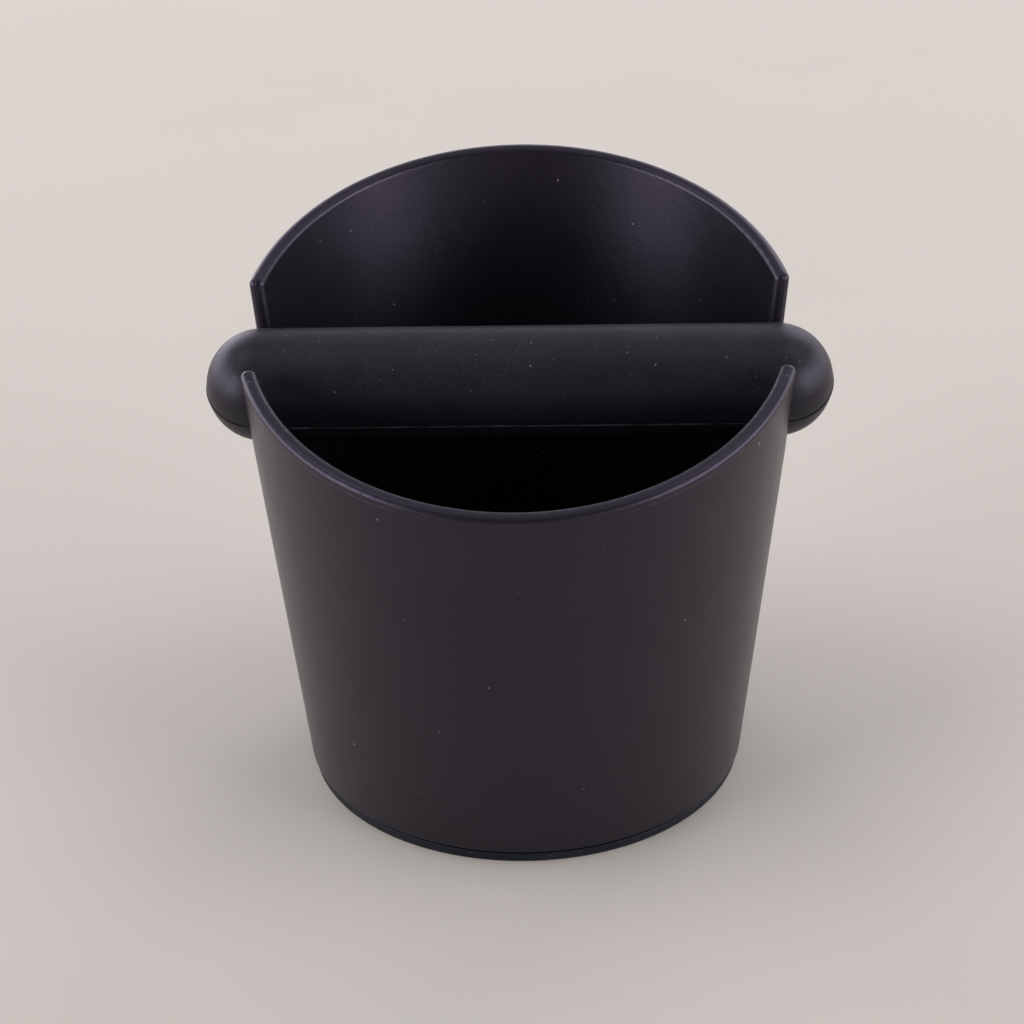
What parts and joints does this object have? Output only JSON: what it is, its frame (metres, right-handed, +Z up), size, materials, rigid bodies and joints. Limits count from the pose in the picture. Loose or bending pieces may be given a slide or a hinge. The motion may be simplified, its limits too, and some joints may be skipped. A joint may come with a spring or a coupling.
{
  "type": "espresso knock box",
  "caption": "Tapered plastic knock box with a slanted open rim, a rubber-covered knock bar that lifts out of open slots in the rim, and a rubber foot pad.",
  "frame": {"origin": "on the tub's own axis, at the underside of the foot pad, on the surface that the box stands on", "axes": "+Z up; +X along the knock bar; -Y towards the user, where the rim is lowest; the rim rises to +Y"},
  "size_m": [0.1804, 0.1609, 0.1643],
  "materials": {
    "tub_plastic": "fine satin moulded charcoal with a warm purple cast",
    "foot_rubber": "matte black moulded rubber",
    "core_steel": "drawn bar, turned ends",
    "bar_rubber": "matte charcoal moulded rubber with a fine mould seam"
  },
  "bodies": {
    "box": {"tub": "tub_plastic", "foot_pad": "foot_rubber"},
    "bar": {"bar_core": "core_steel"},
    "sleeve": {"bar_sleeve": "bar_rubber"}
  },
  "joints": [
    {"name": "bar_lift", "type": "slide", "parent": "box", "child": "bar", "axis": [0, 0, 1], "range_m": [0, 0.06]},
    {"name": "bar_turn", "type": "hinge", "parent": "bar", "child": "sleeve", "pos_m": [0, 0, 0.1215], "axis": [1, 0, 0], "continuous": true}
  ]
}
